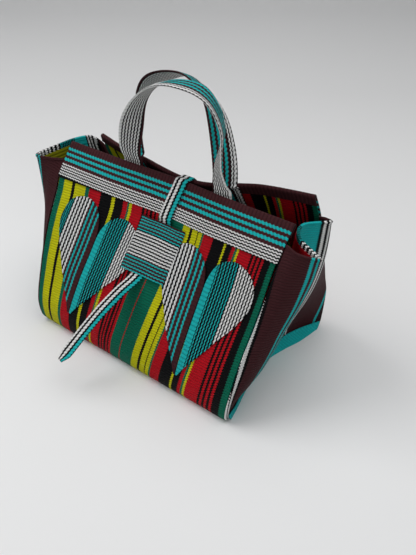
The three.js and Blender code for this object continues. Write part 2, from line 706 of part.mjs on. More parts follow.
// Closing strap: sewn to the back band, over both mouths, down the front under the keeper,
// and out into the air to its pointed end.
function strapGeometry() {
  const overBand = bandFace + gap + slack + strapCloth / 2;
  const onPanel = gap + slack / 2 + strapCloth / 2;
  const places = [];
  const lay = (surface, side, rows) => {
    for (const { up, aside, lift } of rows) {
      const across = (1 + (side * aside * strapWidth) / (halfWidth * frontWide(up))) / 2;
      places.push({
        middle: offsetPoint(surface, across, up, onPanel + (overBand - onPanel) * lift),
        wide: alongCloth(surface, across, up).multiplyScalar(-side),
      });
    }
  };
  const fold = (surface, side, aside, shares) => {
    for (const share of shares) {
      const across = (1 + (side * aside * strapWidth) / (halfWidth * frontWide(1))) / 2;
      places.push({
        middle: roundMouth(surface, across, share * Math.PI, cloth / 2 + overBand),
        wide: alongCloth(surface, across, 1).multiplyScalar(-side),
      });
    }
  };
  const under = evenSteps(keeperRows).reverse().map((share) => ({
    up: (keeperMiddle + (share - 0.5) * keeperHeight) / frontHeight,
    aside: strapUnderKeeper.foot + (strapUnderKeeper.top - strapUnderKeeper.foot) * share,
    lift: 0,
  }));
  lay(backPoint, -1, strapOnBack);
  fold(backPoint, -1, strapOnBack[0].aside, [0.25, 0.5]);
  fold(frontPoint, 1, strapOnFront[0].aside, [0.5, 0.25]);
  lay(frontPoint, 1, strapOnFront);
  lay(frontPoint, 1, under);
  const leave = places[places.length - 1];
  const reach = new THREE.Vector3(...strapReach).multiplyScalar(strapDrop);
  const turned = new THREE.Vector3(...strapEndWide);
  for (const row of strapEndRows) {
    places.push({
      middle: leave.middle.clone().addScaledVector(reach, row.along)
        .add(new THREE.Vector3(0, 0, row.droop * strapDrop)),
      wide: leave.wide.clone().lerp(turned, row.turned),
    });
  }
  const end = places[places.length - 1];
  places.push({
    middle: end.middle.clone().addScaledVector(reach.normalize(), strapTipLength),
    wide: end.wide,
    narrow: 0.45,
  });
  return ribbonGeometry(withThickness(places), strapWidth, strapCloth, 2);
}

// Facing inside the top of a side wall, clear of both seams.
function facingGeometry(wall, sign) {
  const surface = wallSurface(wall, sign, wallFoot);
  const across = wallAcross.filter((share) => share > facingMargin && share < 1 - facingMargin);
  return sheet(surface, { across, up: facingUp, inner: -cloth - patchFace, outer: -cloth - gap });
}

// The bag
const bag = new THREE.Group();
bag.name = 'tote_bag';

function addPiece(name, geometry, colour, roughness = 0.7) {
  const material = new THREE.MeshStandardMaterial({ color: colour, roughness, metalness: 0 });
  const mesh = new THREE.Mesh(geometry, material);
  mesh.name = name;
  bag.add(mesh);
}

const keeperClearance = toSolid(keeperGeometry(gap));

addPiece('front_panel', toGeometry(frontSolid), green);
addPiece('back_panel', toGeometry(backSolid), green);
addPiece('right_gusset', toGeometry(gussetSolid(rightWall, 1)), brown);
addPiece('left_gusset', toGeometry(gussetSolid(leftWall, -1)), brown);
addPiece('base_panel', toGeometry(basePanel()), turquoise);
addPiece('front_band', toGeometry(frontBandSolid), brown);
addPiece('back_band', toGeometry(backBandSolid), brown);
addPiece('right_wing_facing', facingGeometry(rightWall, 1), red);
addPiece('left_wing_facing', facingGeometry(leftWall, -1), olive);
addPiece('front_handle', handleGeometry(frontHandleRows, frontFoot), white);
addPiece('back_handle', handleGeometry(backHandleRows, backFoot), brown);
addPiece('keeper_patch', keeperGeometry(0), white);
addPiece('closing_strap', strapGeometry(), white);
for (const leaf of leaves) {
  const trimmed = toSolid(leafGeometry(leaf)).subtract(keeperClearance);
  addPiece(leaf.name, toGeometry(mainBody(trimmed)), leaf.colour);
}

export default bag;
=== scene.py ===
# Looks of a handwoven tote bag: striped plaited cloths with hems, bands, hearts and webbing,
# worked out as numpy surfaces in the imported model's frame.
import math

import bpy
import numpy as np
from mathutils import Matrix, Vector


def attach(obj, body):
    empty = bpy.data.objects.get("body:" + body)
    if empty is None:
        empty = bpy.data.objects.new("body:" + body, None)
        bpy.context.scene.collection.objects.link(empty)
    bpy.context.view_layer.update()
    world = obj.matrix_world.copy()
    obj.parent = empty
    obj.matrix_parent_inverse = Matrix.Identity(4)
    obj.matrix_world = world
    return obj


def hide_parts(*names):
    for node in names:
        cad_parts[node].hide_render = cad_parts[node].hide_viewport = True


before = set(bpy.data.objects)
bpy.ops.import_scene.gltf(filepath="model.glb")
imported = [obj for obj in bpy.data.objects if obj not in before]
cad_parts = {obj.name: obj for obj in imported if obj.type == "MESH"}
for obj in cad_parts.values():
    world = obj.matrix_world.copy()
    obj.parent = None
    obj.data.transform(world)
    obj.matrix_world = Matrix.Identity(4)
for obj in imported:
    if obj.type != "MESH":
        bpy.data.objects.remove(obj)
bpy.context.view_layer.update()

MM = 0.001
SHARP_DEGREES = 50

# Driving sizes, in millimetres
BASE_WIDTH = 330.0
BASE_DEPTH = 234.0
FRONT_HEIGHT = 236.0
BACK_HEIGHT = 243.0
WING_HEIGHT = 220.0
CLOTH = 2.0
BAND_CLOTH = 1.6
PATCH_CLOTH = 1.2
STRAP_CLOTH = 1.8
HANDLE_CLOTH = 2.6
BASE_CLOTH = 2.4
LAYER_GAP = 0.3
BASE_STRIP_HEIGHT = 12.0
MOUTH_DENT = 8.0
DENT_NARROWNESS = 8.0
LEFT_SWELL = 15.0
BAND_DROP = 37.0
BAND_TURN_IN = 11.0
HANDLE_WIDTH = 30.0
HANDLE_SPREAD = 70.0
HANDLE_REACH = 20.0
HANDLE_RISE = 128.0
STRAP_WIDTH = 19.0
STRAP_DROP = 100.0
STRAP_TIP = 12.0
STRAP_POINT = 0.55
SCALLOP = 0.22
KEEPER_WIDTH = 70.0
KEEPER_HEIGHT = 65.0
KEEPER_MIDDLE = 157.5
KEEPER_ASIDE = 3.0
KEEPER_SLANT = 10.0
LEAF_LENGTH = 143.0
LEAF_WIDTH = 64.0
SEAM_INSET = 2.3
RIPPLE = 0.5
FRONT_PHASE = 0.7
BACK_PHASE = 2.3
FOLD_SLACK = 0.7
STRAP_SLACK = 0.25
KEEPER_SLACK = 0.5
BASE_ROOM = 3.2
HEM_DROP = 1.0
HEM_TURN_IN = 9.0
HEM_CLOTH = 0.7

# The front stripes' place: full width of the weave, and the slip aside at the foot
PANEL_SPREAD = 352.0
FRONT_SLIP = 34.0
SLIP_POWER = 1.3

# Columns and rows of each grid of points
PANEL_GRID = (131, 101)
WALL_GRID = (141, 91)
FACING_GRID = (101, 25)
KEEPER_GRID = (61, 57)
LEAF_COLUMNS = 31
FOLD_COLUMNS = 141
FOLD_ROW = 2.2
FOLD_ANGLES = 9
FOLD_INSIDE_ROWS = 6
WEBBING_COLUMNS = 17
HANDLE_STATIONS = 520
STRAP_STATIONS = 330

# Parts of the cloth, as shares of its way round and its height
FOLD_ENDS = (0.001, 0.999)
WALL_ENDS = (0.002, 0.998)
WALL_RISE = (0.01, 1.0)
FACING_ACROSS = (0.1, 0.9)
FACING_UP = (0.75, 0.975)
FOOT_UPS = np.array([0.843, 0.9, 0.95, 1.0])

HALF_WIDTH = BASE_WIDTH / 2
HALF_DEPTH = BASE_DEPTH / 2

# Woven colours, as the light they give back
PLASTIC = {
    "white": (0.72, 0.72, 0.71),
    "black": (0.003, 0.003, 0.0035),
    "brown": (0.050, 0.0145, 0.017),
    "dark_brown": (0.022, 0.008, 0.009),
    "turquoise": (0.012, 0.420, 0.425),
    "green": (0.002, 0.125, 0.072),
    "red": (0.440, 0.005, 0.012),
    "yellow": (0.540, 0.530, 0.006),
    "olive": (0.260, 0.260, 0.008),
}

# Share of a light and dark pair that its light stripe takes
LIGHT_SHARE = {
    ("white", "black"): 0.50,
    ("turquoise", "black"): 0.34,
    ("turquoise", "brown"): 0.40,
    ("red", "black"): 0.50,
    ("black", "red"): 0.50,
}

# Front panel by height: up, lean, width, share of the mouth's dent, share of the left swell
FRONT_ROWS = np.array([
    (0.00, 0.955, 0.994, 0.0, 0.00),
    (0.05, 1.000, 1.000, 0.0, 0.05),
    (0.17, 0.968, 1.010, 0.0, 0.30),
    (0.38, 0.778, 1.018, 0.0, 0.70),
    (0.51, 0.632, 1.028, 0.1, 0.95),
    (0.65, 0.480, 1.036, 0.4, 1.00),
    (0.78, 0.368, 1.047, 1.0, 0.55),
    (0.85, 0.318, 1.060, 0.8, 0.25),
    (1.00, 0.080, 1.072, 0.4, 0.00),
])

# Back panel by height: up, lean, width, share of the pinch
BACK_ROWS = np.array([
    (0.00, 0.955, 0.994, 0.00),
    (0.05, 1.000, 1.000, 0.00),
    (0.26, 1.000, 1.012, 0.00),
    (0.39, 0.905, 1.018, 0.04),
    (0.52, 0.800, 1.030, 0.12),
    (0.70, 0.630, 1.042, 0.34),
    (0.89, 0.500, 1.050, 0.74),
    (1.00, 0.440, 1.020, 1.00),
])

# Back panel's mouth from right to left: place, how far it is drawn in, height
BACK_MOUTH = np.array([
    (0.00, 0.00, 1.000),
    (0.10, 0.06, 0.998),
    (0.20, 0.13, 0.993),
    (0.28, 0.23, 0.984),
    (0.36, 0.34, 0.973),
    (0.43, 0.39, 0.968),
    (0.50, 0.39, 0.966),
    (0.60, 0.35, 0.966),
    (0.68, 0.31, 0.968),
    (0.83, 0.24, 0.965),
    (1.00, 0.09, 0.955),
])

# Side walls by height: up, then x and y of six places between the seams, as shares of the
# base's half width and half depth: swell, front fold, valley, hollow, back fold, fall
RIGHT_ROWS = np.array([
    (0.000, 0.965, -0.77, 0.915, -0.50, 0.870, -0.17, 0.862, 0.10, 0.905, 0.37, 0.958, 0.62),
    (0.055, 0.975, -0.79, 0.912, -0.50, 0.864, -0.17, 0.842, 0.10, 0.852, 0.44, 0.905, 0.71),
    (0.180, 1.042, -0.82, 1.030, -0.48, 0.960, -0.13, 0.912, 0.13, 0.903, 0.42, 0.945, 0.72),
    (0.340, 1.085, -0.66, 1.105, -0.39, 1.015, -0.09, 0.962, 0.15, 0.985, 0.46, 1.005, 0.76),
    (0.500, 1.112, -0.54, 1.160, -0.29, 1.025, 0.00, 0.965, 0.19, 1.058, 0.46, 1.045, 0.71),
    (0.660, 1.145, -0.42, 1.218, -0.17, 1.045, 0.03, 0.980, 0.21, 1.103, 0.48, 1.078, 0.63),
    (0.820, 1.165, -0.34, 1.275, -0.13, 1.070, 0.01, 1.004, 0.19, 1.135, 0.46, 1.100, 0.56),
    (1.000, 1.195, -0.29, 1.345, -0.24, 1.115, -0.05, 1.042, 0.17, 1.170, 0.39, 1.120, 0.45),
])
LEFT_ROWS = np.array([
    (0.000, 0.970, -0.77, 0.945, -0.50, 0.925, -0.17, 0.920, 0.10, 0.930, 0.42, 0.960, 0.70),
    (0.055, 0.975, -0.79, 0.945, -0.50, 0.920, -0.17, 0.910, 0.10, 0.915, 0.43, 0.945, 0.72),
    (0.180, 1.030, -0.83, 1.042, -0.50, 1.006, -0.13, 0.982, 0.13, 0.970, 0.45, 0.982, 0.75),
    (0.340, 1.066, -0.74, 1.103, -0.47, 1.079, -0.09, 1.055, 0.15, 1.030, 0.48, 1.018, 0.77),
    (0.500, 1.097, -0.68, 1.158, -0.43, 1.152, -0.05, 1.127, 0.17, 1.091, 0.48, 1.061, 0.72),
    (0.660, 1.127, -0.58, 1.218, -0.38, 1.206, -0.02, 1.182, 0.19, 1.133, 0.46, 1.091, 0.64),
    (0.820, 1.164, -0.45, 1.273, -0.36, 1.260, 0.00, 1.230, 0.20, 1.176, 0.43, 1.109, 0.54),
    (1.000, 1.176, -0.33, 1.303, -0.36, 1.285, 0.02, 1.255, 0.21, 1.206, 0.38, 1.127, 0.45),
])

# Height of the side walls' hems: way round, share of the wing's height
RIGHT_HEM = np.array([(0.00, 0.990), (0.30, 1.000), (0.72, 1.000), (0.86, 0.990), (1.00, 0.968)])
LEFT_HEM = np.array([(0.00, 0.990), (0.30, 1.000), (0.72, 1.000), (0.86, 0.945), (1.00, 0.866)])

# Thread of a side wall's cloth, in millimetres from the front seam at the mouth, at its seams
# and places, at the foot and at the mouth
RIGHT_THREADS_FOOT = np.array([-15.0, 20.0, 55.0, 92.0, 118.0, 148.0, 185.0, 222.0])
LEFT_THREADS_FOOT = np.array([3.0, 25.0, 55.0, 92.0, 118.0, 148.0, 185.0, 222.0])
THREADS_MOUTH = np.array([2.0, 22.0, 55.0, 92.0, 118.0, 148.0, 160.0, 172.0])

# Half of a heart: along its length, near side, far side
LEAF_ROWS = np.array([
    (0.00, 0.00, 0.03),
    (0.10, 0.00, 0.15),
    (0.25, 0.00, 0.38),
    (0.42, 0.00, 0.62),
    (0.58, 0.00, 0.86),
    (0.70, 0.00, 0.98),
    (0.78, 0.01, 1.00),
    (0.88, 0.08, 0.95),
    (0.95, 0.20, 0.82),
    (0.985, 0.33, 0.67),
    (1.00, 0.45, 0.55),
])

# Heart halves: node, slot, tip and notch on the panel, side, size
LEAVES = [
    ("left_heart_outer", "heart_brown_cloth", (-0.640, 0.174), (-0.530, 0.623), -1, 1.00),
    ("left_heart_inner", "heart_turquoise_cloth", (-0.632, 0.174), (-0.522, 0.623), 1, 1.00),
    ("right_heart_inner", "heart_brown_cloth", (0.511, 0.153), (0.540, 0.606), -1, 1.00),
    ("right_heart_outer", "heart_turquoise_cloth", (0.519, 0.153), (0.548, 0.606), 1, 1.04),
]

# Handles from the left foot to the right: side, depth, rise, turn and tilt in degrees
FRONT_HANDLE = np.array([
    (-0.99, -0.12, 0.03, 6, 4),
    (-0.98, -0.4, 0.18, 16, 9),
    (-0.88, -0.52, 0.41, 42, 17),
    (-0.79, -0.44, 0.595, 76, 24),
    (-0.66, -0.27, 0.735, 96, 21),
    (-0.46, -0.08, 0.842, 107, 16),
    (-0.16, 0.02, 0.914, 107, 8),
    (0.18, 0.03, 0.942, 106, 1),
    (0.49, 0.01, 0.933, 107, -2),
    (0.75, -0.02, 0.866, 108, 5),
    (0.93, -0.05, 0.75, 109, 14),
    (1.02, -0.07, 0.6, 117, 20),
    (0.99, -0.1, 0.44, 130, 19),
    (0.945, -0.12, 0.265, 144, 14),
    (0.97, -0.12, 0.12, 160, 8),
    (1.02, -0.12, 0.03, 177, 0),
])
BACK_HANDLE = np.array([
    (-1.06, 0.3, 0.03, 6, 3),
    (-1.15, 0.58, 0.18, 3, 1),
    (-1.19, 0.87, 0.4, -11, -6),
    (-1.12, 1.12, 0.6, -34, -24),
    (-0.97, 1.26, 0.73, -56, -36),
    (-0.78, 1.36, 0.82, -66, -40),
    (-0.48, 1.43, 0.891, -70, -38),
    (-0.2, 1.5, 0.93, -68, -26),
    (0.03, 1.56, 0.907, -69, -20),
    (0.26, 1.6, 0.82, -78, -19),
    (0.47, 1.57, 0.69, -98, -17),
    (0.63, 1.42, 0.54, -116, -14),
    (0.76, 1.19, 0.38, -130, -11),
    (0.86, 0.93, 0.235, -143, -8),
    (0.93, 0.66, 0.12, -154, -4),
    (0.97, 0.46, 0.04, -161, 0),
])

# Closing strap on each cloth: up, sideways place, lift from the panel to over the band
STRAP_ON_BACK = np.array([(0.87, 0.80, 1), (0.90, 0.80, 1), (0.95, 0.80, 1), (1.00, 0.80, 1)])
STRAP_ON_FRONT = np.array([(1.00, 0.78, 1), (0.95, 0.72, 1), (0.90, 0.65, 1), (0.835, 0.55, 1)])
STRAP_KEEPER_TOP = 0.48
STRAP_KEEPER_FOOT = -0.42
STRAP_REACH = np.array([-0.28, -1.1, -0.72])
STRAP_END_WIDE = np.array([-0.985, 0.17, 0.0])

# The strap's free end: along, droop, turned
STRAP_END = np.array([
    (0.08, 0.00, 0.0), (0.25, 0.04, 0.2), (0.50, 0.06, 0.5), (0.75, 0.04, 0.8), (1.00, 0.00, 1.0),
])


# Steps of a share over which directions are measured, on a cloth and at a panel's top
NEAR = 1e-3
TOP_STEP = 0.02


# Curves and surfaces
def follow(places, values, at):
    """Smooth curve through values at places: each stretch is its chord plus a cubic that takes
    up the slope of the neighbours at both ends, and past the ends it goes on straight."""
    places = np.asarray(places, float)
    at = np.asarray(at, float)
    values = np.asarray(values, float)
    if values.ndim == 1:
        values = np.broadcast_to(values[:, None], (len(places), at.size))
    values = values.reshape(len(places), -1)
    t = at.ravel()
    column = np.arange(t.size)
    n = len(places)
    before = np.maximum(np.arange(n) - 1, 0)
    after = np.minimum(np.arange(n) + 1, n - 1)
    slopes = (values[after] - values[before]) / (places[after] - places[before])[:, None]
    i = np.clip(np.searchsorted(places, t, side="right") - 1, 0, n - 2)
    span = places[i + 1] - places[i]
    s = (t - places[i]) / span
    start = values[i, column]
    rise = values[i + 1, column] - start
    bend0 = slopes[i, column] * span - rise
    bend1 = slopes[i + 1, column] * span - rise
    inside = start + rise * s + s * (1 - s) * (bend0 * (1 - s) - bend1 * s)
    low = values[0] + slopes[0] * (t - places[0])
    high = values[-1] + slopes[-1] * (t - places[-1])
    return np.where(t < places[0], low, np.where(t > places[-1], high, inside)).reshape(at.shape)


def column(table, index, at):
    """One column of a table, followed smoothly against the table's first column."""
    return follow(table[:, 0], table[:, index], at)


def ripple(a, b, phase):
    """Slight unevenness of hand weaving: a sum of three slow waves across and up the cloth."""
    return RIPPLE * (
        0.5 * np.sin(19 * a + 7 * b + phase) * np.sin(11 * b + 2 * phase)
        + 0.3 * np.sin(31 * a - 13 * b + 2.1 * phase)
        + 0.3 * np.sin(23 * b + 5 * a + phase)
    )


def calmed(a, up):
    """Share of the ripple that is left: none at the cloth's edges, all of it further in."""
    return np.clip(up * (1 - up) * 6, 0, 1) * np.clip(a * (1 - a) * 8, 0, 1)


def front(a, up):
    """Front panel's outer face: width and lean follow the table by height, a dent is a bell
    curve about the middle, and the left side swells as the fourth power of the way there."""
    side = 2 * a - 1
    x = side * HALF_WIDTH * column(FRONT_ROWS, 2, up)
    dent = MOUTH_DENT * column(FRONT_ROWS, 3, up) * np.exp(-DENT_NARROWNESS * side**2)
    swell = LEFT_SWELL * column(FRONT_ROWS, 4, up) * ((1 - side) / 2) ** 4
    y = -HALF_DEPTH * column(FRONT_ROWS, 1, up) + dent - swell
    y = y + ripple(a, up, FRONT_PHASE) * calmed(a, up)
    return np.stack([x, y, up * FRONT_HEIGHT], axis=-1)


def back(a, up):
    """Back panel's outer face, from right to left: the same, with the mouth drawn in towards
    the front by the mouth's table times the pinch at each height."""
    x = (1 - 2 * a) * HALF_WIDTH * column(BACK_ROWS, 2, up)
    drawn = HALF_DEPTH * column(BACK_MOUTH, 1, a) * column(BACK_ROWS, 3, up)
    sag = 1 + (column(BACK_MOUTH, 2, a) - 1) * up
    y = HALF_DEPTH * column(BACK_ROWS, 1, up) - drawn
    y = y + ripple(a, up, BACK_PHASE) * calmed(a, up)
    return np.stack([x, y, up * BACK_HEIGHT * sag], axis=-1)


def side_wall(rows, hem, sign):
    """Side wall's outer face as a function of the way round and of the height's share: at each
    height a smooth curve in plan through the front seam, six places and the back seam."""
    stops = np.linspace(0, 1, 8)

    def surface(a, share, low=BASE_CLOTH, high=None):
        at = a if sign > 0 else 1 - a
        top = WING_HEIGHT * column(hem, 1, at) if high is None else high
        z = low + (top - low) * share
        up = z / WING_HEIGHT
        ends = np.ones_like(at)
        first = front(ends if sign > 0 else 0 * ends, z / FRONT_HEIGHT)
        mouth = 1.0 if sign > 0 else BACK_MOUTH[-1, 2]
        last = back(0 * ends if sign > 0 else ends, z / (BACK_HEIGHT * mouth))
        plan_x = [sign * HALF_WIDTH * column(rows, 1 + 2 * k, up) for k in range(6)]
        plan_y = [HALF_DEPTH * column(rows, 2 + 2 * k, up) for k in range(6)]
        xs = np.stack([first[..., 0], *plan_x, last[..., 0]]).reshape(8, -1)
        ys = np.stack([first[..., 1], *plan_y, last[..., 1]]).reshape(8, -1)
        return np.stack([follow(stops, xs, at), follow(stops, ys, at), z], axis=-1)

    return surface


right_wall = side_wall(RIGHT_ROWS, RIGHT_HEM, 1)
left_wall = side_wall(LEFT_ROWS, LEFT_HEM, -1)


def unit(v):
    """Directions of length one."""
    return v / np.linalg.norm(v, axis=-1, keepdims=True)


def normal(surface, a, b):
    """Outward direction: the change across the cloth crossed with the change up it."""
    across = surface(a + NEAR, b) - surface(a - NEAR, b)
    above = surface(a, b + NEAR) - surface(a, b - NEAR)
    return unit(np.cross(across, above))


def raised(surface, a, b, distance):
    """Surface shifted along its outward direction by a distance, inward where negative."""
    reach = np.broadcast_to(np.asarray(distance, float), np.shape(a))
    return surface(a, b) + normal(surface, a, b) * reach[..., None]


def grid(across, up):
    """Two arrays of the shares at every crossing of a grid, rows going up."""
    a, b = np.meshgrid(np.asarray(across, float), np.asarray(up, float))
    return a, b


def travelled(points, axis):
    """Length along one direction of a grid of points, starting from zero."""
    steps = np.linalg.norm(np.diff(points, axis=axis), axis=-1)
    start = np.zeros_like(np.take(steps, [0], axis=axis))
    return np.concatenate([start, np.cumsum(steps, axis=axis)], axis=axis)


# Meshes
def shell(name, outer, inner, threads, finishes, slot, *nodes):
    """Closed cloth wall between two grids of points in millimetres, whose rims are stitched by
    a strip of faces; threads gives each crossing's place on the weave, in millimetres."""
    rows, columns = outer.shape[:2]
    count = rows * columns
    at = np.arange(count).reshape(rows, columns)
    quads = [
        np.stack([at[:-1, :-1], at[:-1, 1:], at[1:, 1:], at[1:, :-1]], axis=-1).reshape(-1, 4),
        np.stack([at[:-1, :-1], at[1:, :-1], at[1:, 1:], at[:-1, 1:]], axis=-1).reshape(-1, 4) + count,
    ]
    rims = [at[0, ::-1], at[:, 0], at[-1, :], at[::-1, -1]]
    for rim in rims:
        quads.append(np.stack([rim[:-1], rim[1:], rim[1:] + count, rim[:-1] + count], axis=-1))
    faces = np.concatenate(quads)
    points = np.concatenate([outer.reshape(-1, 3), inner.reshape(-1, 3)]) * MM
    mesh = bpy.data.meshes.new(name)
    mesh.from_pydata(points.tolist(), [], faces.tolist())
    both = np.concatenate([threads.reshape(-1, 2)] * 2)
    layer = mesh.uv_layers.new(name="weave")
    layer.data.foreach_set("uv", both[faces.ravel()].astype(np.float32).ravel())
    for finish in finishes:
        mesh.materials.append(finish)
    inside = np.zeros(len(faces), dtype=np.int32)
    if len(finishes) > 1:
        inside[len(quads[0]):len(quads[0]) + len(quads[1])] = 1
    mesh.polygons.foreach_set("material_index", inside)
    mesh.polygons.foreach_set("use_smooth", np.ones(len(faces), dtype=bool))
    mesh.set_sharp_from_angle(angle=math.radians(SHARP_DEGREES))
    mesh.update()
    piece = bpy.data.objects.new(name, mesh)
    bpy.context.scene.collection.objects.link(piece)
    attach(piece, "root")
    if nodes:
        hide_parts(*nodes)
    return piece


def weave_places(points):
    """Place on the weave of each crossing: lengths along the rows and up the columns."""
    return np.stack([travelled(points, 1), travelled(points, 0)], axis=-1)


# Finishes
def expand(bands):
    """Colour stripes as start places and colours: a band is (width, colour), or a width, a
    colour pair and a count, which is that many pairs of stripes."""
    stops = []
    place = 0.0
    for width, colour, *count in bands:
        if count:
            light, dark = colour
            for k in range(count[0]):
                pair = width / count[0]
                stops.append((place + k * pair, light))
                stops.append((place + (k + LIGHT_SHARE[light, dark]) * pair, dark))
        else:
            stops.append((place, colour))
        place += width
    return stops, place


class Nodes:
    """Short calls for the nodes of one material."""

    def __init__(self, material):
        self.tree = material.node_tree
        self.tree.nodes.clear()

    def add(self, kind, **values):
        node = self.tree.nodes.new(kind)
        for key, value in values.items():
            setattr(node, key, value)
        return node

    def link(self, source, target):
        if isinstance(source, (int, float)):
            target.default_value = source
        else:
            self.tree.links.new(source, target)

    def math(self, operation, a, b=0.0):
        """One sum of two values, or of a value and a number."""
        node = self.add("ShaderNodeMath", operation=operation)
        self.link(a, node.inputs[0])
        self.link(b, node.inputs[1])
        return node.outputs[0]

    def eased(self, value, gain, floor):
        """A value times its gain, from a floor up."""
        return self.math("ADD", self.math("MULTIPLY", value, gain), floor)

    def arches(self, place, pitch, roundness):
        """Rounded ridges side by side: a power of the sine's size, one arch to each pitch."""
        wave = self.math("SINE", self.math("MULTIPLY", place, math.pi / pitch))
        return self.math("POWER", self.math("ABSOLUTE", wave), roundness)

    def mix(self, factor, a, b, blend="MIX"):
        node = self.add("ShaderNodeMix", data_type="RGBA", blend_type=blend)
        self.link(factor, node.inputs["Factor"])
        self.tree.links.new(a, node.inputs["A"])
        self.tree.links.new(b, node.inputs["B"])
        return node.outputs["Result"]

    def noise(self, scale, detail, vector=None):
        node = self.add("ShaderNodeTexNoise")
        node.inputs["Scale"].default_value = scale
        node.inputs["Detail"].default_value = detail
        if vector is not None:
            self.tree.links.new(vector, node.inputs["Vector"])
        return node.outputs["Fac"]


RAMP_STOPS = 30


def stripe_colour(nodes, place, stops, total):
    """Colour by place across the stripes: ramps of a few dozen stops each, one after another."""
    result = None
    for first in range(0, len(stops), RAMP_STOPS):
        part = stops[first:first + RAMP_STOPS]
        ramp = nodes.add("ShaderNodeValToRGB")
        ramp.color_ramp.interpolation = "CONSTANT"
        elements = ramp.color_ramp.elements
        elements.remove(elements[1])
        for index, (start, colour) in enumerate(part):
            if index:
                element = elements.new(min(start / total, 1.0))
            else:
                element = elements[0]
                element.position = start / total
            element.color = (*PLASTIC[colour], 1)
        nodes.link(nodes.math("DIVIDE", place, total), ramp.inputs[0])
        if result is None:
            result = ramp.outputs[0]
        else:
            later = nodes.math("GREATER_THAN", place, part[0][0])
            result = nodes.mix(later, result, ramp.outputs[0])
    return result


# Weave: pitches in millimetres, noise per metre, and how far each part darkens the colour: painted
# shade in the grooves between ribs and between threads, random tone from grain and wear
RIB = 4.9
FINE_RIB = 3.65
HANDLE_RIB = 5.2
STRAP_RIB = 4.4
THREAD = 1.65
RIB_ROUNDNESS = 0.55
THREAD_ROUNDNESS = 0.6
DRIFT_NOISE = (55.0, 2.0)
GRAIN_NOISE = (900.0, 3.0)
WEAR_NOISE = (28.0, 3.0)
RIB_LIGHT = 1.04
THREAD_LIGHT = (0.16, 0.86)
GRAIN_LIGHT = (0.3, 0.85)
WEAR_LIGHT = (0.3, 0.87)
RIB_RELIEF, THREAD_RELIEF, GRAIN_RELIEF = 0.7, 0.3, 0.12
RELIEF = 0.0011
ROUGHNESS = (0.2, 0.42)
SHINE = 0.05


def woven(name, bands, start=0.0, along=0, rib=RIB, zigzag=0.5, wander=0.7, rib_shade_depth=0.38):
    """Plaited plastic in stripes: stripe edges zigzag at the pitch of the ribs that cross them,
    each rib is a rounded ridge, and threads lie side by side between the ribs; the colour is
    darkened in the grooves between ribs and between threads as painted shade, and varied at
    random by grain and wear."""
    material = bpy.data.materials.new(name)
    material.use_nodes = True
    nodes = Nodes(material)
    uv = nodes.add("ShaderNodeUVMap", uv_map="weave")
    split = nodes.add("ShaderNodeSeparateXYZ")
    nodes.link(uv.outputs[0], split.inputs[0])
    across, length = split.outputs[along], split.outputs[1 - along]
    solid = nodes.add("ShaderNodeTexCoord").outputs["Object"]
    drift = nodes.noise(*DRIFT_NOISE, solid)
    stray = nodes.math("MULTIPLY", nodes.math("SUBTRACT", drift, 0.5), wander)
    wave = nodes.math("SINE", nodes.math("MULTIPLY", length, 2 * math.pi / rib))
    shifted = nodes.math("ADD", across, nodes.math("MULTIPLY", wave, zigzag))
    shifted = nodes.math("ADD", shifted, stray)
    stops, total = expand(bands)
    colour = stripe_colour(nodes, nodes.math("SUBTRACT", shifted, start), stops, total)
    ribs = nodes.arches(length, rib, RIB_ROUNDNESS)
    threads = nodes.arches(shifted, THREAD, THREAD_ROUNDNESS)
    grain = nodes.noise(*GRAIN_NOISE, solid)
    wear = nodes.noise(*WEAR_NOISE, solid)
    # Painted shade: the colour darkens in the grooves between ribs and between threads, times random
    # tone from grain and wear
    shade_and_tone = nodes.eased(ribs, rib_shade_depth, RIB_LIGHT - rib_shade_depth)
    for part, (gain, floor) in ((threads, THREAD_LIGHT), (grain, GRAIN_LIGHT), (wear, WEAR_LIGHT)):
        shade_and_tone = nodes.math("MULTIPLY", shade_and_tone, nodes.eased(part, gain, floor))
    grey = nodes.add("ShaderNodeCombineColor")
    for socket in grey.inputs:
        nodes.link(shade_and_tone, socket)
    colour = nodes.mix(1.0, colour, grey.outputs[0], "MULTIPLY")
    height = nodes.math(
        "ADD", nodes.math("MULTIPLY", ribs, RIB_RELIEF), nodes.math("MULTIPLY", threads, THREAD_RELIEF),
    )
    height = nodes.math("ADD", height, nodes.math("MULTIPLY", grain, GRAIN_RELIEF))
    bump = nodes.add("ShaderNodeBump")
    bump.inputs["Strength"].default_value = 1.0
    bump.inputs["Distance"].default_value = RELIEF
    nodes.link(height, bump.inputs["Height"])
    shader = nodes.add("ShaderNodeBsdfPrincipled")
    nodes.link(colour, shader.inputs["Base Color"])
    nodes.link(nodes.eased(grain, *ROUGHNESS), shader.inputs["Roughness"])
    shader.inputs["Specular IOR Level"].default_value = SHINE
    nodes.link(bump.outputs[0], shader.inputs["Normal"])
    output = nodes.add("ShaderNodeOutputMaterial")
    nodes.link(shader.outputs[0], output.inputs[0])
    return material


WHITE_BLACK = ("white", "black")
RED_BLACK = ("red", "black")
TURQUOISE_BROWN = ("turquoise", "brown")
TURQUOISE_BLACK = ("turquoise", "black")

